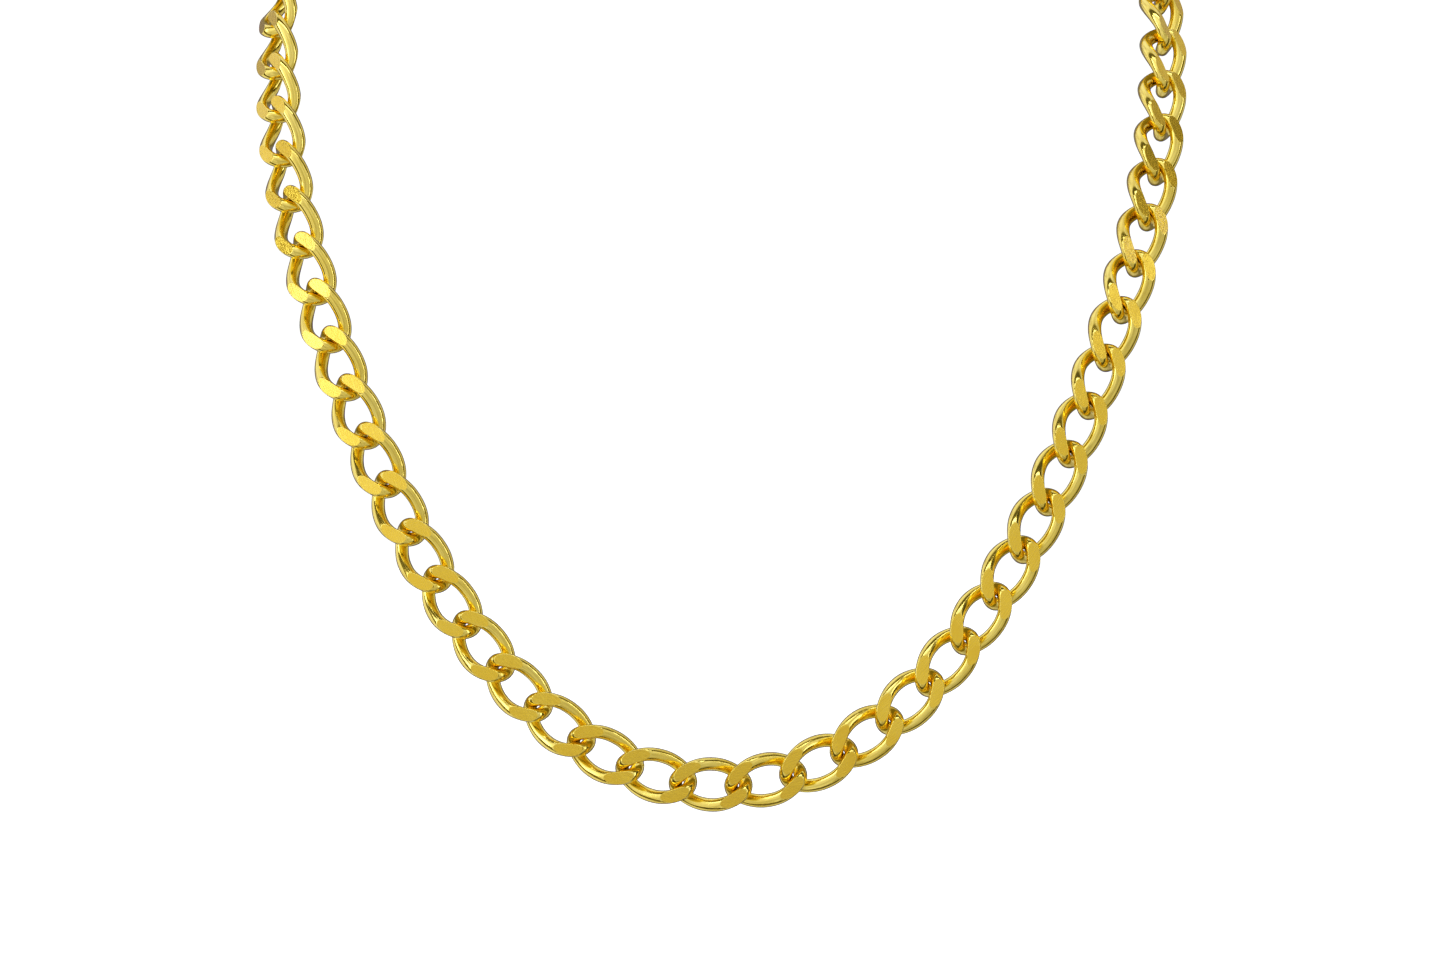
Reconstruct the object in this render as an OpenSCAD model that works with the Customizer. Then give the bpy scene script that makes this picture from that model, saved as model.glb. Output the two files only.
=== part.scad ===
// Curb chain necklace in the shape it takes round a wearer's neck, with its trigger clasp undone.
// The origin is the middle of the loop, where the neck passes through. +Z is up and -Y is the front.

/* [Links] */
// Diameter of the round wire that a link is bent from
wire_d = 1.7; // [1.4:0.05:1.75]
// Outer length of a link
link_l = 10.3; // [8.5:0.1:13]
// Outer width of a link
link_w = 6.7; // [6.5:0.1:8.5]
// Thickness of the chain over its ground faces
link_t = 3.1; // [2.6:0.05:3.7]
// Angle that each end of a link is twisted through
link_twist = 50; // [47:1:53]
// Squareness of the loop: 2 is an ellipse, more is squarer
link_square = 2.4; // [2.3:0.05:2.8]
// Gap between the wires of two links pulled straight
link_play = 0.1; // [0.08:0.01:0.2]

/* [Drape] */
// Links from the lowest one to where the chain has turned by 45 degrees
front_turn = 4.1; // [3.8:0.1:4.6]
// Slope of the chest that the front of the chain lies on
chest_slope = 12; // [8:1:16]
// Further slope that the chain gains as it climbs over the shoulder
shoulder_slope = 27; // [22:1:30]
// Further slope that it gains on the way round to the nape
nape_slope = 22; // [15:1:28]
// How fast the faces roll outwards, in degrees for each link squared
face_roll = 0.125; // [0.11:0.005:0.14]
// How much faster they roll on the left side, because every link is twisted the same way
roll_bias = 0.025; // [0:0.005:0.03]
// How far the lowest link lies from the middle of the chest, in links
slip = -0.17; // [-0.5:0.01:0.5]

/* [Jump rings] */
// Diameter of the wire of both jump rings
ring_wire = 1.0; // [0.8:0.05:1.2]
// Outer diameter of both jump rings
ring_d = 6.0; // [5.8:0.1:7.5]

/* [Clasp] */
// Thickness of the clasp's body
clasp_t = 2.6; // [2.4:0.1:3.2]
// Length of the clasp over its eye and its hook
clasp_l = 14; // [13:0.1:17]
// Outer diameter of the hook
hook_d = 6.6; // [6.2:0.1:8]
// Width of the hook's band
hook_band = 1.4; // [1.2:0.1:1.6]
// Diameter of the hole in the clasp's eye
eye_bore = 2.4; // [2.2:0.1:2.8]
// Wall round the hole in the clasp's eye
eye_wall = 0.9; // [0.8:0.05:1.1]
// Thickness of the eye
eye_t = 1.2; // [1:0.1:1.4]
// Thickness of the lever
lever_t = 1.2; // [1:0.1:1.4]
// Diameter of the rivet that the lever turns on
rivet_d = 0.8; // [0.6:0.05:0.9]
// Angle that the lever opens through
lever_swing = 28; // [15:1:30]

/* [End tag] */
// Length of the tag that the clasp hooks into
tag_l = 9.2; // [8.5:0.1:12]
// Width of the tag
tag_w = 5.6; // [5.2:0.1:7]
// Thickness of the tag
tag_t = 1.0; // [0.8:0.1:1.2]
// Diameter of the tag's large hole, for the hook
tag_bore = 3.2; // [3:0.1:3.6]
// Diameter of the tag's small hole, for the jump ring
tag_ring_bore = 1.8; // [1.6:0.1:2.2]

/* [Hidden] */
// Links on each side of the lowest one. The last of them, by the clasp, are joined in twos.
side_links = 28;
single_links = 24;
wire_sides = 8;
wire_rings = 20;
end_crowding = 14;

pitch = link_l - 2 * wire_d - link_play;
half_l = (link_l - wire_d) / 2;
half_w = (link_w - wire_d) / 2;

two = function (i) i < 10 ? str("0", i) : str(i);
single_name = function (side, i) str(side, "_link_", two(i));
pair_name = function (side, i) str(side, "_links_", two(i), "_", two(i + 1));
pair_starts = [for (i = [single_links + 1 : 2 : side_links]) i];

gold = [0.93, 0.76, 0.26];
steel = [0.72, 0.73, 0.74];

// ---- The shape that the chain takes, as a frame [along, across, face, centre] for each link

function smooth(x) = let (c = min(max(x, 0), 1)) c * c * (3 - 2 * c);
function unit(v) = v / norm(v);

// The chain has turned upright by the shoulder, then goes round to the nape in a quarter turn.
upright_from = 13;
upright_by = 17.5;
last_turn = 8;
shoulder_from = 4;
shoulder_by = 23;
nape_from = 18.5;
nape_run = 11;
nape_ease = 0.3;
face_from = 16;
face_by = 31;

// g is how many links a place is from the middle of the chest, and hand is 1 on the right side.
function turned_up(g) = atan(g / front_turn)
    + last_turn * smooth((g - upright_from) / (upright_by - upright_from));
function round_nape(g) = let (t = min(max((g - nape_from) / nape_run, 0), 1))
    90 * (nape_ease * smooth(t) + (1 - nape_ease) * t);
function run_back(g) = chest_slope * sin(turned_up(g))
    + shoulder_slope * smooth((g - shoulder_from) / (shoulder_by - shoulder_from))
    + nape_slope * round_nape(g) / 90;
function heading(g) = let (
        steady = min(max((g - nape_from + 2) / 4, 0), 1),
        up = turned_up(g) * (1 - steady) + 90 * steady,
        back = run_back(g),
        climb = [cos(back) * cos(up), sin(back), cos(back) * sin(up)]
    ) cos(round_nape(g)) * climb + sin(round_nape(g)) * [-1, 0, 0];
function facing(g, hand) = let (
        roll = face_roll - roll_bias * hand,
        left_over = 180 - roll * face_by * face_by,
        turn = min(roll * g * g + left_over * smooth((g - face_from) / (face_by - face_from)), 180)
    ) [sin(turn), -cos(turn), 0];
function axes(i) = let (
        s = i + slip,
        hand = s < 0 ? -1 : 1,
        side = [hand, 1, 1],
        h = heading(abs(s)),
        f = facing(abs(s), hand),
        along = hand * [h.x * side.x, h.y, h.z],
        out = [f.x * side.x, f.y, f.z],
        face = unit(out - (out * along) * along)
    ) [along, cross(face, along), face];

side_axes = function (hand) [for (i = [0 : side_links]) axes(hand * i)];
walk = function (hand) let (a = side_axes(hand))
    [for (i = 0, c = [slip * pitch, 0, 0]; i <= side_links;
        c = i < side_links ? c + hand * pitch / 2 * (a[i][0] + a[i + 1][0]) : c, i = i + 1) c];
right_axes = side_axes(1);
left_axes = side_axes(-1);
right_centres = walk(1);
left_centres = walk(-1);

// The middle of the loop lies half way between the lowest link and the nape.
nape = (right_centres[side_links] + left_centres[side_links]) / 2;
loop_centre = [0, nape.y / 2, nape.z / 2];

function frame(i) = let (n = abs(i), a = i < 0 ? left_axes[n] : right_axes[n],
        c = i < 0 ? left_centres[n] : right_centres[n]) [a[0], a[1], a[2], c - loop_centre];
function matrix(f) = [for (k = [0 : 2]) [f[0][k], f[1][k], f[2][k], f[3][k]]];

// ---- One link: a squared oval of round wire, twisted about its length, with both faces ground flat

function power(x, e) = sign(x) * pow(abs(x), e);
function twisted(x, y) = let (turn = -link_twist * x / half_l) [x, y * cos(turn), y * sin(turn)];
function middle(t) = twisted(half_l * power(cos(t), 2 / link_square), half_w * power(sin(t), 2 / link_square));
function ring_points(t) = let (
        tangent = unit(middle(t + 0.01) - middle(t - 0.01)),
        turn = -link_twist * cos(t),
        outward = [half_w * cos(t), half_l * sin(t) * cos(turn), half_l * sin(t) * sin(turn)],
        across = unit(outward - (outward * tangent) * tangent),
        up = cross(tangent, across)
    ) [for (k = [0 : wire_sides - 1]) let (
        a = (k + 0.5) * 360 / wire_sides,
        p = middle(t) + wire_d / 2 * (cos(a) * across + sin(a) * up)
    ) [p.x, p.y, min(max(p.z, -link_t / 2), link_t / 2)]];
// The rings lie closer together round the tight ends.
link_points = [for (j = [0 : wire_rings - 1]) let (u = j * 360 / wire_rings)
    each ring_points(u - end_crowding * sin(2 * u))];
link_faces = [for (j = [0 : wire_rings - 1], k = [0 : wire_sides - 1]) let (
        a = j * wire_sides, b = (j + 1) % wire_rings * wire_sides, k2 = (k + 1) % wire_sides
    ) each [[a + k, a + k2, b + k2], [a + k, b + k2, b + k]]];

module chain_link(i) {
    color(gold) multmatrix(matrix(frame(i))) polyhedron(link_points, link_faces, convexity = 6);
}

module link_pair(hand, i) {
    chain_link(hand * i);
    chain_link(hand * (i + 1));
}

// ---- The findings at both ends. Each is drawn along +X from the middle of its side's last link.

end_play = 0.1;
eye_play = 0.2;
ring_r = (ring_d - ring_wire) / 2;
ring_x = half_l - wire_d / 2 - end_play - ring_wire / 2 + ring_r;
ring_end_x = ring_x + ring_r;
hole_start_x = ring_end_x - ring_wire / 2 - eye_play;

// The rings lean with the twisted wire that they go through, and the findings lean with them.
finding_lean = 30;

// Places what is drawn beyond the last link of a side. On the left, +X runs back along the chain.
module beyond(hand) {
    multmatrix(matrix(frame(hand * side_links))) rotate([0, 0, hand > 0 ? 0 : 180])
        rotate([-finding_lean, 0, 0]) children();
}

module jump_ring(hand) {
    color(gold) beyond(hand) translate([ring_x, 0, 0]) rotate([90, 0, 0])
        rotate_extrude($fn = 48) translate([ring_r, 0]) circle(d = ring_wire, $fn = 24);
}

module end_tag() {
    end_r = tag_w / 2;
    near_wall = 0.9;
    far_wall = (tag_w - tag_bore) / 2;
    color(gold) beyond(1) translate([hole_start_x - near_wall, 0, -tag_t / 2]) difference() {
        linear_extrude(tag_t) {
            translate([end_r, -end_r]) square([tag_l - tag_w, tag_w]);
            for (x = [end_r, tag_l - end_r]) translate([x, 0]) circle(r = end_r, $fn = 48);
        }
        translate([near_wall + tag_ring_bore / 2, 0, -1]) cylinder(d = tag_ring_bore, h = tag_t + 2, $fn = 32);
        translate([tag_l - far_wall - tag_bore / 2, 0, -1]) cylinder(d = tag_bore, h = tag_t + 2, $fn = 32);
    }
}

// The clasp is drawn from the centre of its eye, with its hook towards +X and its mouth towards +Y.
eye_r = eye_bore / 2 + eye_wall;
hook_r = hook_d / 2;
hook_in = hook_r - hook_band;
hook_mid = hook_r - hook_band / 2;
hook_x = clasp_l - eye_r - hook_r;
lever_play = 0.1;
mouth_from = 22;
mouth_to = 138;
pivot_turn = 150;
pivot = [hook_x + hook_mid * cos(pivot_turn), hook_mid * sin(pivot_turn)];
boss_r = rivet_d / 2 + 0.5;
lip = [hook_x + hook_in * cos(mouth_from), hook_in * sin(mouth_from)];
lever_reach = norm(lip - pivot) - 2 * lever_play;
slot_r = boss_r + 0.25;
head_d = rivet_d + 0.5;
head_t = 0.2;

module at_clasp() {
    beyond(-1) translate([hole_start_x + eye_bore / 2, 0, 0]) children();
}

// A sector of a disc about the hook's centre
module sector(r, from, to) {
    steps = 12;
    translate([hook_x, 0]) polygon(concat([[0, 0]],
        [for (k = [0 : steps]) let (a = from + (to - from) * k / steps) r * [cos(a), sin(a)]]));
}

module lever_disc(r) {
    translate(pivot) circle(r = r, $fn = 48);
}

module hook_ring() {
    translate([hook_x, 0]) difference() {
        circle(r = hook_r, $fn = 64);
        circle(r = hook_in, $fn = 64);
    }
}

module clasp_body() {
    shank_from = eye_bore / 2 + 0.3;
    shank_w = 2.2;
    slot_t = lever_t + 2 * lever_play;
    color(gold) at_clasp() difference() {
        union() {
            translate([0, 0, -clasp_t / 2]) linear_extrude(clasp_t) difference() {
                union() {
                    hook_ring();
                    polygon([[eye_r - 0.2, -shank_w / 2], [hook_x - hook_mid, -hook_mid * 0.75],
                        [hook_x - hook_mid, hook_mid * 0.75], [eye_r - 0.2, shank_w / 2]]);
                }
                translate([hook_x, 0]) circle(r = hook_in, $fn = 64);
                intersection() {
                    sector(2 * hook_r, mouth_from, mouth_to);
                    lever_disc(lever_reach + lever_play);
                }
            }
            translate([0, 0, -eye_t / 2]) cylinder(r = eye_r, h = eye_t, $fn = 48);
            translate([shank_from, -shank_w / 2, -eye_t / 2]) cube([eye_wall + 0.3, shank_w, eye_t]);
        }
        translate([0, 0, -clasp_t]) cylinder(d = eye_bore, h = 2 * clasp_t, $fn = 48);
        translate([pivot.x, pivot.y, -clasp_t]) cylinder(d = rivet_d + 0.04, h = 2 * clasp_t, $fn = 24);
        translate([0, 0, -slot_t / 2]) linear_extrude(slot_t) {
            lever_disc(slot_r);
            translate([pivot.x, pivot.y - slot_r]) square([2 * slot_r, 4 * slot_r]);
            translate([pivot.x - spring_l, pivot.y]) square([spring_l, 4 * slot_r]);
        }
    }
}

// A bent leaf between the floor of the slot and the lever's heel
spring_l = 2.6;
spring_t = 0.25;
module clasp_spring() {
    bend_r = spring_l;
    from = 208;
    to = 252;
    steps = 10;
    centre = pivot + [-0.9, boss_r + bend_r * 0.62];
    arc = function (r, a, b) [for (k = [0 : steps]) let (t = a + (b - a) * k / steps)
        centre + r * [cos(t), sin(t)]];
    color(steel) at_clasp() translate([0, 0, -0.4]) linear_extrude(0.8)
        polygon(concat(arc(bend_r, from, to), arc(bend_r - spring_t, to, from)));
}

module clasp_rivet() {
    color(gold) at_clasp() translate(pivot) {
        translate([0, 0, -clasp_t / 2]) cylinder(d = rivet_d, h = clasp_t, $fn = 24);
        for (z = [clasp_t / 2, -clasp_t / 2 - head_t]) translate([0, 0, z])
            cylinder(d = head_d, h = head_t, $fn = 24);
    }
}

module clasp_lever() {
    nub_turn = 112;
    nub_w = 1.1;
    nub_h = 0.9;
    color(gold) at_clasp() translate([0, 0, -lever_t / 2]) difference() {
        linear_extrude(lever_t) {
            intersection() {
                hook_ring();
                sector(2 * hook_r, mouth_from, pivot_turn);
                lever_disc(lever_reach);
            }
            lever_disc(boss_r);
            translate([hook_x, 0]) rotate(nub_turn) translate([hook_mid, -nub_w / 2])
                square([hook_band / 2 + nub_h, nub_w]);
        }
        translate([pivot.x, pivot.y, -1]) cylinder(d = rivet_d + 0.1, h = lever_t + 2, $fn = 24);
    }
}

// ---- Everything that is drawn

chain_link(0);  // lowest_link
for (i = [1 : single_links]) {
    chain_link(i);
    chain_link(-i);
}
for (i = pair_starts) {
    link_pair(1, i);
    link_pair(-1, i);
}
jump_ring(-1);  // clasp_jump_ring
clasp_body();
clasp_rivet();
clasp_spring();
clasp_lever();
jump_ring(1);  // end_jump_ring
end_tag();
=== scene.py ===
"""A curb chain necklace with a trigger clasp, gold plated, in the shape that it takes round the neck."""

import bmesh
import bpy
import numpy as np
from mathutils import Matrix, Vector


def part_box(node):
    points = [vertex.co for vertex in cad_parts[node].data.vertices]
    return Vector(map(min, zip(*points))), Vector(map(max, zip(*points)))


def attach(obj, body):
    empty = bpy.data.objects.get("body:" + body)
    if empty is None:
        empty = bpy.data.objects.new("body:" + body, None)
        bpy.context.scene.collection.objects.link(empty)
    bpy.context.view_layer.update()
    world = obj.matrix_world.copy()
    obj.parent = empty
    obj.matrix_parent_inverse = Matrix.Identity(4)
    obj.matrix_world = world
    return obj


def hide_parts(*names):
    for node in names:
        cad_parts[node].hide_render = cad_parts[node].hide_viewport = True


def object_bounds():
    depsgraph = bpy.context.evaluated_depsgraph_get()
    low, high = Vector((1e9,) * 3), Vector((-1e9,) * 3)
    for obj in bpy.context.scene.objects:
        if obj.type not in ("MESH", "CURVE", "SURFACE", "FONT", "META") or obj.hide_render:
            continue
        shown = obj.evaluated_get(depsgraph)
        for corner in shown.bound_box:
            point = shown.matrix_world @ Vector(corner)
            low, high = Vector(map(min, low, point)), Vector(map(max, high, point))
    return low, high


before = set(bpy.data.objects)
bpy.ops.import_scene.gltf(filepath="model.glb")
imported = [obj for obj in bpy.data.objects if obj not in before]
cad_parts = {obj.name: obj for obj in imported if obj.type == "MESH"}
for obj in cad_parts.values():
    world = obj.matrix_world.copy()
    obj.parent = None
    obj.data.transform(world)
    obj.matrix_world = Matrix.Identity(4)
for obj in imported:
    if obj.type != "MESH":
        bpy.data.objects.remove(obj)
cad_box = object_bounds()
MM = 0.001


# ---- The camera: level, a long arm's length in front of the chest, a little below the middle of the loop.
# It's a long lens, so the two arms of the chain are drawn almost without perspective.
camera_aside = 0.3 * MM
camera_back = 798.4 * MM
camera_below = 26.2 * MM
camera = bpy.data.objects.new("camera", bpy.data.cameras.new("camera"))
bpy.context.scene.collection.objects.link(camera)
bpy.context.scene.camera = camera
camera.location = (camera_aside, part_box("lowest_link")[0].y - camera_back, -camera_below)
camera.rotation_euler = (np.radians(90), 0, 0)
camera.data.sensor_width = 36
camera.data.lens = 163.2


# ---- The links: each is one length of round brass wire, bent to a squared oval and soldered shut at one end,
# twisted so that it lies flat in the chain, ground flat on both faces of the chain, and gold plated.
wire_d = 1.7 * MM
link_l = 10.3 * MM
link_w = 6.7 * MM
link_t = 3.1 * MM
link_twist = np.radians(50)
link_square = 2.4
end_crowding = np.radians(12)
groove_depth = 0.035 * MM
groove_width = np.radians(0.6)
groove_step = np.radians(0.45)
rim_wear = 0.035 * MM
half_l = (link_l - wire_d) / 2
half_w = (link_w - wire_d) / 2


def power(x, exponent):
    """|x| to a power, with the sign of x."""
    return np.sign(x) * np.abs(x) ** exponent


def unit(v):
    """Each vector divided by its length."""
    return v / np.linalg.norm(v, axis=-1, keepdims=True)


def wire_middle(t):
    """The wire's centre line: a squared ellipse x = a cos^(2/n) t, y = b sin^(2/n) t, with each point
    turned about the long axis by an angle that grows in proportion to x."""
    x = half_l * power(np.cos(t), 2 / link_square)
    y = half_w * power(np.sin(t), 2 / link_square)
    turn = -link_twist * x / half_l
    return np.stack([x, y * np.cos(turn), y * np.sin(turn)], -1)


def wire_loop(solder_t, rings=128, sides=40):
    """The unground link: rings of points round the centre line, closer together round the tight ends,
    with a groove as deep as a hair where the cut ends of the wire meet, which is also where the rings
    start. Gives the points, and for each its place on the straight wire: (distance along, radius * cos,
    radius * sin)."""
    u = np.arange(rings) / rings * 2 * np.pi
    groove = np.array([-3, -1, 0, 1, 3]) * groove_step
    from_solder = (u - end_crowding * np.sin(2 * u) - solder_t) % (2 * np.pi)
    from_solder = np.sort(np.concatenate([from_solder, groove % (2 * np.pi)]))
    nearest = np.minimum(from_solder, 2 * np.pi - from_solder)
    t = from_solder + solder_t
    radius = wire_d / 2 - groove_depth * np.exp(-(nearest / groove_width) ** 2)
    middle = wire_middle(t)
    tangent = unit(wire_middle(t + 1e-4) - wire_middle(t - 1e-4))
    turn = -link_twist * np.cos(t)
    outward = np.stack([half_w * np.cos(t), half_l * np.sin(t) * np.cos(turn),
                        half_l * np.sin(t) * np.sin(turn)], -1)
    across = unit(outward - (outward * tangent).sum(-1, keepdims=True) * tangent)
    up = np.cross(tangent, across)
    around = np.arange(sides) / sides * 2 * np.pi
    points = middle[:, None] + radius[:, None, None] * (
        np.cos(around)[:, None] * across[:, None] + np.sin(around)[:, None] * up[:, None])
    distance = np.concatenate([[0], np.cumsum(np.linalg.norm(np.diff(middle, axis=0), axis=1))])
    straight = np.stack(np.broadcast_arrays(distance[:, None], radius[:, None] * np.cos(around),
                                            radius[:, None] * np.sin(around)), -1)
    return points, straight


def skin(rings, sides):
    """The quads of a closed grid: each point is joined to the next round its ring and to the next ring."""
    j, k = np.meshgrid(np.arange(rings), np.arange(sides), indexing="ij")
    j2, k2 = (j + 1) % rings, (k + 1) % sides
    return np.stack([j * sides + k, j * sides + k2, j2 * sides + k2, j2 * sides + k], -1).reshape(-1, 4)


def give(mesh, name, values):
    """Stores one vector for each point of a mesh, for the patterns of its materials to follow."""
    layer = mesh.attributes.new(name, "FLOAT_VECTOR", "POINT")
    layer.data.foreach_set("vector", np.ascontiguousarray(values, np.float32).ravel())


def ground_link(name, solder_t, half_thickness):
    """The wire loop with both faces ground flat: cut by two planes, each opening closed with one flat
    face, and the sharp rim of each taken off by a narrow bevel."""
    points, straight = wire_loop(solder_t)
    mesh = bpy.data.meshes.new(name)
    mesh.from_pydata(points.reshape(-1, 3), [], skin(*points.shape[:2]))
    give(mesh, "on_wire", straight)
    give(mesh, "in_link", points)
    cut = bmesh.new()
    cut.from_mesh(mesh)
    for z in (half_thickness, -half_thickness):
        found = bmesh.ops.bisect_plane(cut, geom=cut.verts[:] + cut.edges[:] + cut.faces[:], dist=1e-9,
                                       plane_co=(0, 0, z), plane_no=(0, 0, np.sign(z)), clear_outer=True)
        rims = [e for e in found["geom_cut"] if isinstance(e, bmesh.types.BMEdge)]
        made = bmesh.ops.edgeloop_fill(cut, edges=rims)
        for face in made["faces"]:
            face.material_index = 1
    bmesh.ops.recalc_face_normals(cut, faces=cut.faces[:])
    rims = [e for e in cut.edges if len({f.material_index for f in e.link_faces}) == 2]
    bmesh.ops.bevel(cut, geom=rims, offset=rim_wear, segments=2, profile=0.5, affect="EDGES", material=0)
    for face in cut.faces:
        face.smooth = face.material_index == 0
    cut.to_mesh(mesh)
    cut.free()
    return mesh


def ride_on(made, body, nodes):
    """Puts a finished piece on its body and the CAD nodes that it stands for."""
    bpy.context.scene.collection.objects.link(made)
    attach(made, body)
    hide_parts(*nodes)


def add(tree, kind, links=(), **settings):
    """Adds a shader node to a tree, with its settings, and joins (its input, the output that feeds it)
    pairs. A setting whose name is an input's, with _ for spaces, is that input's value."""
    made = tree.nodes.new("ShaderNode" + kind)
    for key, value in settings.items():
        if hasattr(made, key):
            setattr(made, key, value)
        else:
            made.inputs[key.replace("_", " ")].default_value = value
    for socket, source in links:
        tree.links.new(source, made.inputs[socket])
    return made


def handling_marks():
    """The group that every metal here shares. Soft patches, a few millimetres across, where the plate has
    been rubbed dull, and hair scratches across them: two long stretched noises, each kept only near its
    middle value, where it is a thin line, and only where a patch is. A scratch is 0 and the rest is 1."""
    group = bpy.data.node_groups.new("handling_marks", "ShaderNodeTree")
    for name, way in (("Patch Size", "INPUT"), ("Scratch Size", "INPUT"),
                      ("Patches", "OUTPUT"), ("Scratches", "OUTPUT")):
        group.interface.new_socket(name, in_out=way, socket_type="NodeSocketFloat")
    start = group.nodes.new("NodeGroupInput").outputs
    where = add(group, "TexCoord").outputs["Object"]
    patches = add(group, "TexNoise", [("Vector", where), ("Scale", start["Patch Size"])], Detail=3)
    lines = []
    for turn, stretch in (((0.4, 0.9, 0.2), (1, 0.03, 1)), ((1.2, 0.1, 1.4), (0.03, 1, 1))):
        turned = add(group, "Mapping", [("Vector", where)], Rotation=turn, Scale=stretch)
        noise = add(group, "TexNoise", [("Vector", turned.outputs[0]), ("Scale", start["Scratch Size"])],
                    Detail=0)
        off = add(group, "Math", [(0, noise.outputs["Fac"])], operation="SUBTRACT")
        off.inputs[1].default_value = 0.5
        away = add(group, "Math", [(0, off.outputs[0])], operation="ABSOLUTE")
        line = add(group, "MapRange", [("Value", away.outputs[0])], From_Min=0.0, From_Max=0.012,
                   To_Min=0.0, To_Max=1.0)
        lines.append(line.outputs[0])
    both = add(group, "Math", [(0, lines[0]), (1, lines[1])], operation="MULTIPLY")
    unrubbed = add(group, "MapRange", [("Value", patches.outputs["Fac"])], From_Min=0.42, From_Max=0.58,
                   To_Min=1.0, To_Max=0.0)
    marked = add(group, "Math", [(0, both.outputs[0]), (1, unrubbed.outputs[0])], operation="MAXIMUM")
    ends = group.nodes.new("NodeGroupOutput")
    group.links.new(patches.outputs["Fac"], ends.inputs["Patches"])
    group.links.new(marked.outputs[0], ends.inputs["Scratches"])
    return group


marks_group = handling_marks()


def plated(name, colour, worn, smooth, dull, patch_size=220.0, scratch_size=900.0):
    """A polished metal under a thin lacquer, with the handling marks in its colour, roughness and relief.
    Gives the material, its node tree, and the scratches' bump, which the caller may put another under."""
    material = bpy.data.materials.new(name)
    material.use_nodes = True
    tree = material.node_tree
    shader = tree.nodes["Principled BSDF"]
    shader.inputs["Metallic"].default_value = 1
    shader.inputs["Coat Weight"].default_value = 0.35
    shader.inputs["Coat Roughness"].default_value = 0.05
    marks = add(tree, "Group", node_tree=marks_group, Patch_Size=patch_size, Scratch_Size=scratch_size)
    patches = marks.outputs["Patches"]
    tint = add(tree, "ValToRGB", [("Fac", patches)])
    tint.color_ramp.elements[0].position = 0.35
    tint.color_ramp.elements[1].position = 0.7
    tint.color_ramp.elements[0].color = (*colour, 1)
    tint.color_ramp.elements[1].color = (*worn, 1)
    tree.links.new(tint.outputs["Color"], shader.inputs["Base Color"])
    rough = add(tree, "MapRange", [("Value", patches)], From_Min=0.35, From_Max=0.7, To_Min=smooth,
                To_Max=dull)
    tree.links.new(rough.outputs[0], shader.inputs["Roughness"])
    scratched = add(tree, "Bump", [("Height", marks.outputs["Scratches"])], Distance=0.002 * MM,
                    Strength=1.0)
    tree.links.new(scratched.outputs[0], shader.inputs["Normal"])
    return material, tree, scratched


# The round of the wire has drawing lines: a noise stretched fifty times along the wire.
new_gold = (0.98, 0.78, 0.165)
worn_gold = (0.95, 0.72, 0.125)
gold, tree, scratched = plated("chain_gold", new_gold, worn_gold, 0.10, 0.20)
place = add(tree, "Attribute", attribute_name="on_wire")
lengthwise = add(tree, "Mapping", [("Vector", place.outputs["Vector"])], Scale=(120, 6000, 6000))
drawn = add(tree, "TexNoise", [("Vector", lengthwise.outputs[0])], Scale=1.0, Detail=2)
lines = add(tree, "Bump", [("Height", drawn.outputs["Fac"])], Distance=0.010 * MM, Strength=1.0)
tree.links.new(lines.outputs[0], scratched.inputs["Normal"])

# The ground faces have grinding lines: a noise stretched ten times along the chain. Their gold is painted a
# darker, deeper yellow than the wire's, as painted shade for the dim side of the room that the flat faces
# mirror.
ground_gold_painted_shade, tree, scratched = plated("ground_face_gold_painted_shade", (0.98, 0.70, 0.10), (0.95, 0.65, 0.08), 0.20,
                                      0.30)
place = add(tree, "Attribute", attribute_name="in_link")
along_chain = add(tree, "Mapping", [("Vector", place.outputs["Vector"])], Scale=(900, 9000, 900))
ground = add(tree, "TexNoise", [("Vector", along_chain.outputs[0])], Scale=1.0, Detail=3)
lines = add(tree, "Bump", [("Height", ground.outputs["Fac"])], Distance=0.03 * MM, Strength=1.0)
tree.links.new(lines.outputs[0], scratched.inputs["Normal"])


side_links = 28
single_links = 24


def node_of(i):
    """The node that link i is in, counted from the lowest, with its place there and how many are there: the
    last links of each side are two to a node. A node and its body have the same name."""
    side = "right" if i > 0 else "left"
    n = abs(i)
    if i == 0:
        return "lowest_link", 0, 1
    if n <= single_links:
        return f"{side}_link_{n:02d}", 0, 1
    first = n - 1 + n % 2
    return f"{side}_links_{first}_{first + 1}", n - first, 2


# Each link's frame comes from its CAD solid. Its centre is the mean of the points, its length runs the way in
# which they spread most, from left to right, and its face looks the way in which they spread least.
places = range(-side_links, side_links + 1)
centres, alongs, faces_out = [], [], []
for i in places:
    node, part, count = node_of(i)
    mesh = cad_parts[node].data
    points = np.empty(len(mesh.vertices) * 3, np.float32)
    mesh.vertices.foreach_get("co", points)
    points = np.array_split(points.reshape(-1, 3).astype(float), count)[part]
    centres.append(points.mean(0))
    axes = np.linalg.svd(points - points.mean(0), full_matrices=False)[2]
    alongs.append(axes[0])
    faces_out.append(axes[2])
centres, alongs, faces_out = np.array(centres), np.array(alongs), np.array(faces_out)
alongs *= np.sign((alongs * np.gradient(centres, axis=0)).sum(1))[:, None]
faces_out[1:] *= np.cumprod(np.sign((faces_out[1:] * faces_out[:-1]).sum(1)))[:, None]
faces_out *= -np.sign(faces_out[side_links, 1])
acrosses = np.cross(faces_out, alongs)

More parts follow.
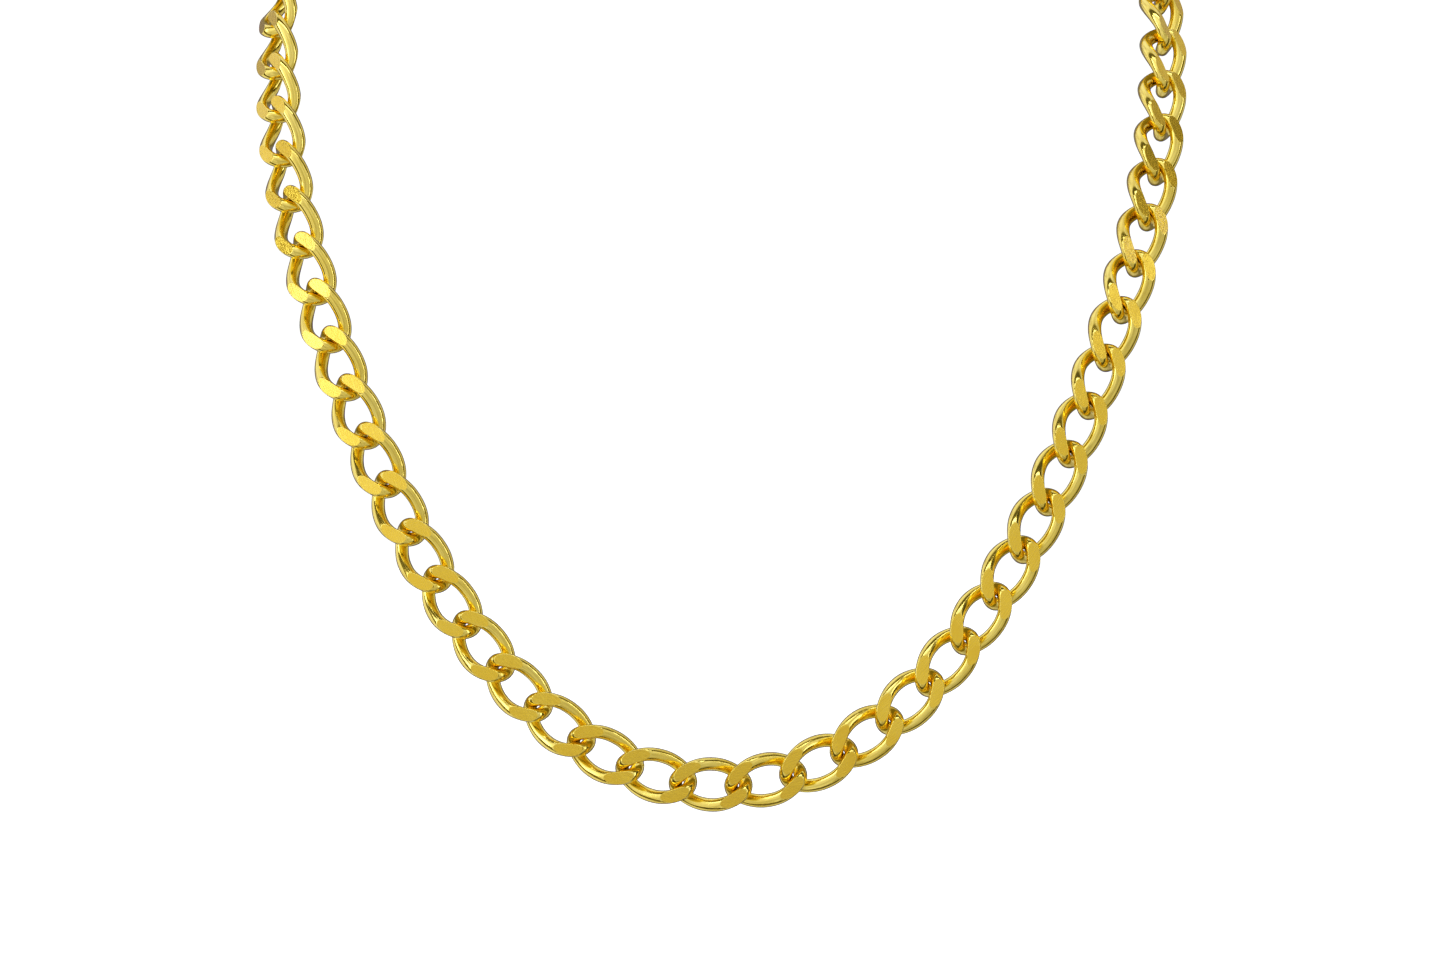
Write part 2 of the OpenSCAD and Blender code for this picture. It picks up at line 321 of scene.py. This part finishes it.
# No two neighbours need be twins: each is drawn from three patterns, which differ by a hair in where the
# solder is and how deep they are ground.
chance = np.random.default_rng(7)
patterns = [ground_link(f"link_pattern_{k}", np.radians(8 + 2 * k), link_t / 2 - 0.01 * k * MM)
            for k in range(3)]
for k, i in enumerate(places):
    node = node_of(i)[0]
    name = "lowest_curb_link" if i == 0 else f"{'right' if i > 0 else 'left'}_curb_link_{abs(i):02d}"
    mesh = patterns[chance.integers(len(patterns))].copy()
    turn = np.stack([alongs[k], acrosses[k], faces_out[k]], 1)
    mesh.transform(Matrix([[*turn[r], centres[k][r]] for r in range(3)] + [[0, 0, 0, 1]]))
    mesh.materials.append(gold)
    # The flat faces take the gold that has painted shade in its colour.
    mesh.materials.append(ground_gold_painted_shade)
    made = bpy.data.objects.new(name, mesh)
    ride_on(made, node, [node])


# ---- The jump rings: one at each end of the chain, each a single turn of wire, sawn through, then closed by
# hand, so that a hair of a gap is left. They stand square to the leaning wire of the last link.
ring_wire = 1.0 * MM
ring_d = 6.0 * MM
end_play = 0.1 * MM
ring_r = (ring_d - ring_wire) / 2
ring_x = half_l - wire_d / 2 - end_play - ring_wire / 2 + ring_r
saw_at = np.radians(62)
saw_half_gap = np.radians(0.9)
finding_lean = np.radians(30)


def beyond(hand, points):
    """Places what is drawn beyond the last link of a side: x runs away from the chain, and all of it is
    leaned back about x. Each point becomes centre + x * along + y * across + z * face."""
    k = 0 if hand < 0 else len(places) - 1
    along, across, face = hand * alongs[k], hand * acrosses[k], faces_out[k]
    leaned = (np.cos(finding_lean) * across - np.sin(finding_lean) * face,
              np.sin(finding_lean) * across + np.cos(finding_lean) * face)
    return points @ np.stack([along, *leaned]) + centres[k]


def cut_ring(rings=120, sides=32, burr=0.012):
    """A ring of wire with a gap in it: (R + r cos p) cos q, r sin p, (R + r cos p) sin q, with q from one
    side of the gap to the other, and r narrowed at each end, where the saw's burr was rubbed off."""
    q = np.linspace(saw_at + saw_half_gap, saw_at + 2 * np.pi - saw_half_gap, rings)
    q = np.concatenate([[q[0], q[0] + burr], q[1:-1], [q[-1] - burr, q[-1]]])
    narrowed = np.ones(len(q))
    narrowed[[0, -1]] = 0.9
    r = ring_wire / 2 * narrowed[:, None]
    p = np.arange(sides) / sides * 2 * np.pi
    out = ring_r + r * np.cos(p)
    points = np.stack([ring_x + out * np.cos(q)[:, None], r * np.sin(p), out * np.sin(q)[:, None]], -1)
    straight = np.stack(np.broadcast_arrays(ring_r * q[:, None], r * np.cos(p), r * np.sin(p)), -1)
    return points, straight


def bar(name, hand, points):
    """A grid of rings beyond the last link made into a closed bar: smooth along it, with two flat ends."""
    rings, sides = points.shape[:2]
    quads = skin(rings, sides)[:-sides].tolist()
    mesh = bpy.data.meshes.new(name)
    ends = [list(range(sides)), list(range((rings - 1) * sides, rings * sides))]
    mesh.from_pydata(beyond(hand, points.reshape(-1, 3)), [], quads + ends)
    closed = bmesh.new()
    closed.from_mesh(mesh)
    bmesh.ops.recalc_face_normals(closed, faces=closed.faces[:])
    for face in closed.faces:
        face.smooth = len(face.verts) == 4
    closed.to_mesh(mesh)
    closed.free()
    return mesh


for hand, node in ((1, "end_jump_ring"), (-1, "clasp_jump_ring")):
    points, straight = cut_ring()
    mesh = bar(node + "_wire", hand, points)
    give(mesh, "on_wire", straight)
    mesh.materials.append(gold)
    ride_on(bpy.data.objects.new(node + "_wire", mesh), node, [node])


# ---- The end tag: a brass plate stamped from sheet and gold plated, with a small hole for its jump ring and
# a large one for the hook. It is tumbled in a barrel, which rounds its edges and leaves a faint pebbled skin.
finding_gold, tree, scratched = plated("finding_gold", new_gold, worn_gold, 0.12, 0.22, scratch_size=2600.0)
where = add(tree, "TexCoord").outputs["Object"]
pebbled = add(tree, "TexNoise", [("Vector", where)], Scale=1400.0, Detail=2)
pebbles = add(tree, "Bump", [("Height", pebbled.outputs["Fac"])], Distance=0.006 * MM, Strength=1.0)
tree.links.new(pebbles.outputs[0], scratched.inputs["Normal"])


def tumbled(name, node, grain, passes):
    """A copy of a CAD node's mesh with every edge worn round, as tumbling in the barrel leaves it: merged,
    remeshed in even squares of one grain, then each point moved halfway to its neighbours' mean, pass by
    pass."""
    merged = bmesh.new()
    merged.from_mesh(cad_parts[node].data)
    bmesh.ops.remove_doubles(merged, verts=merged.verts[:], dist=0.001 * MM)
    sharp = bpy.data.meshes.new(name + "_sharp")
    merged.to_mesh(sharp)
    merged.free()
    blank = bpy.data.objects.new(name + "_blank", sharp)
    bpy.context.scene.collection.objects.link(blank)
    squares = blank.modifiers.new("squares", "REMESH")
    squares.mode = "VOXEL"
    squares.voxel_size = grain
    squares.use_smooth_shade = True
    wear = blank.modifiers.new("wear", "SMOOTH")
    wear.factor = 0.5
    wear.iterations = passes
    mesh = bpy.data.meshes.new_from_object(blank.evaluated_get(bpy.context.evaluated_depsgraph_get()))
    bpy.data.objects.remove(blank)
    mesh.materials.append(finding_gold)
    return bpy.data.objects.new(name, mesh)


ride_on(tumbled("stamped_end_tag", "end_tag", 0.08 * MM, 20), "end_tag", ["end_tag"])


# ---- The clasp's body: cast in one piece in brass, a flat eye for the jump ring, a shank and a round hook,
# with a slot sawn for the lever. It is plated and tumbled like the tag, so its outer edges are round.
ride_on(tumbled("cast_clasp_body", "clasp_body", 0.10 * MM, 40), "clasp", ["clasp_body"])


# ---- The lever: cast in brass too, with a nub for the thumb. It closes the hook's mouth, and turns inward on
# the rivet through its heel.
ride_on(tumbled("cast_clasp_lever", "clasp_lever", 0.08 * MM, 20), "clasp_lever",
        ["clasp_lever"])


# ---- The rivet: a length of brass wire through both cheeks of the slot, on the middle of the hook's band.
# Its ends are hammered to low domes, which hold it.
clasp_l = 14 * MM
clasp_t = 2.6 * MM
eye_bore = 2.4 * MM
eye_wall = 0.9 * MM
eye_play = 0.2 * MM
hook_d = 6.6 * MM
hook_band = 1.4 * MM
rivet_d = 0.8 * MM
head_d = 1.3 * MM
head_t = 0.2 * MM
rivet_turn = np.radians(150)
eye_x = ring_x + ring_r - ring_wire / 2 - eye_play + eye_bore / 2
hook_x = eye_x + clasp_l - (eye_bore / 2 + eye_wall) - hook_d / 2
hook_mid = (hook_d - hook_band) / 2
rivet_at = np.array([hook_x + hook_mid * np.cos(rivet_turn), hook_mid * np.sin(rivet_turn), 0])
sides = 40
turns = np.linspace(0, np.pi / 2, 9)
dome = np.stack([head_d / 2 * np.sin(turns), clasp_t / 2 + head_t * np.cos(turns)], -1)
profile = np.concatenate([dome, [[rivet_d / 2, clasp_t / 2]], [[rivet_d / 2, -clasp_t / 2]],
                          (dome * (1, -1))[::-1]])
around = np.arange(sides) / sides * 2 * np.pi
points = np.stack([profile[:, :1] * np.cos(around), profile[:, :1] * np.sin(around),
                   np.broadcast_to(profile[:, 1:], (len(profile), sides))], -1)
mesh = bpy.data.meshes.new("hammered_rivet")
mesh.from_pydata(beyond(-1, rivet_at + points.reshape(-1, 3)), [], skin(len(profile), sides)[:-sides])
shape = bmesh.new()
shape.from_mesh(mesh)
bmesh.ops.remove_doubles(shape, verts=shape.verts[:], dist=0.0001 * MM)
bmesh.ops.recalc_face_normals(shape, faces=shape.faces[:])
for face in shape.faces:
    face.smooth = True
shape.to_mesh(mesh)
shape.free()
mesh.set_sharp_from_angle(angle=np.radians(50))
mesh.materials.append(finding_gold)
ride_on(bpy.data.objects.new("hammered_rivet", mesh), "clasp", ["clasp_rivet"])


# ---- The spring: a leaf of bare hardened steel, bent to a low bow. It lies on the floor of the slot in the
# clasp's body, with one end against the lever's heel.
steel = plated("spring_steel", (0.52, 0.51, 0.49), (0.42, 0.40, 0.37), 0.18, 0.32)[0]
leaf_t = 0.16 * MM
leaf_w = 0.8 * MM
leaf_l = 1.5 * MM
leaf_bow = 0.12 * MM
heel_wall = 0.5 * MM


def bent_leaf(rings=24, sides=24):
    """A flat strip on a bow: its middle is x = l s, y = b sin(pi s), with s from 0 to 1, and round it a
    squared ellipse (t/2) cos^(1/2) p across and (w/2) sin^(1/2) p wide."""
    s = np.linspace(0, 1, rings)[:, None]
    p = np.arange(sides) / sides * 2 * np.pi
    across = leaf_t / 2 * power(np.cos(p), 0.5)
    wide = leaf_w / 2 * power(np.sin(p), 0.5)
    tilt = np.arctan(leaf_bow * np.pi * np.cos(np.pi * s) / leaf_l)
    x = leaf_l * s - across * np.sin(tilt)
    y = leaf_bow * np.sin(np.pi * s) + across * np.cos(tilt)
    return np.stack(np.broadcast_arrays(x, y, wide), -1)


leaf_at = rivet_at + (-rivet_d / 2 - heel_wall - leaf_l, leaf_t / 2, 0)
mesh = bar("bent_leaf_spring", -1, leaf_at + bent_leaf())
mesh.materials.append(steel)
ride_on(bpy.data.objects.new("bent_leaf_spring", mesh), "clasp", ["clasp_spring"])


# ---- The studio: a white table below, a white room, and three soft boxes, one above and one on each side.
# Polished gold shows little but what it mirrors, so the room has its own light and dark bands.
def card(name, size, place, radiance):
    """A rectangular soft box of even brightness that faces the middle of the loop."""
    light = bpy.data.lights.new(name, "AREA")
    light.shape = "RECTANGLE"
    light.size, light.size_y = size
    light.energy = radiance * np.pi * size[0] * size[1]
    made = bpy.data.objects.new(name, light)
    bpy.context.scene.collection.objects.link(made)
    made.location = place
    made.rotation_euler = (-Vector(place)).to_track_quat("-Z", "Y").to_euler()


card("ceiling_box", size=(1.0, 0.12), place=(0, -0.35, 0.9), radiance=2.2)
card("left_box", size=(0.24, 0.9), place=(-1.1, -0.45, 0.35), radiance=2.4)
card("right_box", size=(0.13, 0.8), place=(1.1, -0.5, 0.3), radiance=1.8)

# The table and the room are a little over white where they are seen, and dimmer where they light the gold.
seen_white = 1.1
table_radius = 6
table_drop = 50 * MM
bpy.ops.mesh.primitive_circle_add(vertices=96, radius=table_radius, fill_type="NGON",
                                  location=(0, 0, cad_box[0].z - table_drop))
table = bpy.context.object
table.name = "table"
table.visible_glossy = False
table_paint = bpy.data.materials.new("table_paint")
table_paint.use_nodes = True
tree = table_paint.node_tree
shader = tree.nodes["Principled BSDF"]
shader.inputs["Base Color"].default_value = (0.5, 0.5, 0.5, 1)
shader.inputs["Roughness"].default_value = 0.8
shader.inputs["Emission Color"].default_value = (1, 1, 1, 1)
path = add(tree, "LightPath")
glow = add(tree, "MapRange", [("Value", path.outputs["Is Camera Ray"])], To_Min=0.35, To_Max=seen_white)
tree.links.new(glow.outputs[0], shader.inputs["Emission Strength"])
table.data.materials.append(table_paint)


def grey(level):
    """A grey of one level, as a colour."""
    return level, level, level, 1


# The room's light, in bands from the side where the camera stands, at 0, to the far side, at 1.
levels = ((0.0, 0.26), (0.105, 0.28), (0.135, 0.31), (0.33, 0.32), (0.36, 0.03), (0.48, 0.03), (0.52, 0.30),
          (0.8, 0.30), (0.85, 0.09), (1.0, 0.09))
world = bpy.data.worlds.new("room")
bpy.context.scene.world = world
world.use_nodes = True
tree = world.node_tree
background = tree.nodes["Background"]
place = add(tree, "TexCoord")
split = add(tree, "SeparateXYZ", [(0, place.outputs["Generated"])])
toward_back = add(tree, "MapRange", [("Value", split.outputs["Y"])], From_Min=-1, From_Max=1)
bands = add(tree, "ValToRGB", [("Fac", toward_back.outputs[0])])
bands.color_ramp.elements[0].color = grey(levels[0][1])
bands.color_ramp.elements[1].color = grey(levels[-1][1])
for depth, level in levels[1:-1]:
    bands.color_ramp.elements.new(depth).color = grey(level)

# It is brighter towards the ceiling and the left, and uneven all over, as a real room is.
upward = add(tree, "MapRange", [("Value", split.outputs["Z"])], From_Min=-1, From_Max=1, To_Min=1.75,
             To_Max=2.75)
left = add(tree, "MapRange", [("Value", split.outputs["X"])], From_Min=-1, From_Max=1, To_Min=1.25,
           To_Max=0.75)
clutter = add(tree, "TexNoise", [("Vector", place.outputs["Generated"])], Scale=2.6, Detail=2)
uneven = add(tree, "MapRange", [("Value", clutter.outputs["Fac"])], From_Min=0.3, From_Max=0.7, To_Min=0.7,
             To_Max=1.3)
room = bands.outputs["Color"]
for factor in (upward, left, uneven):
    room = add(tree, "Math", [(0, room), (1, factor.outputs[0])], operation="MULTIPLY").outputs[0]
path = add(tree, "LightPath")
mix = add(tree, "Mix", [(0, path.outputs["Is Camera Ray"]), (2, room)], data_type="FLOAT")
mix.inputs[3].default_value = seen_white
tree.links.new(mix.outputs[0], background.inputs["Strength"])
background.inputs["Color"].default_value = (1, 1, 1, 1)

# The colours are developed as for a jeweller's catalogue: the middle greens and blues are pulled down and the
# high ones lifted, so that shaded gold is deep and lit gold is nearly cream.
red_bends = ((0.4, 0.39), (0.6, 0.62), (0.8, 0.85))
green_bends = ((0.16, 0.14), (0.32, 0.295), (0.45, 0.46), (0.58, 0.62), (0.75, 0.81))
blue_bends = ((0.05, 0.03), (0.085, 0.075), (0.14, 0.17), (0.25, 0.31), (0.5, 0.56))
view = bpy.context.scene.view_settings
view.view_transform = "Standard"
view.use_curve_mapping = True
for channel, bends in enumerate((red_bends, green_bends, blue_bends)):
    for amount, developed in bends:
        view.curve_mapping.curves[channel].points.new(amount, developed)
view.curve_mapping.update()
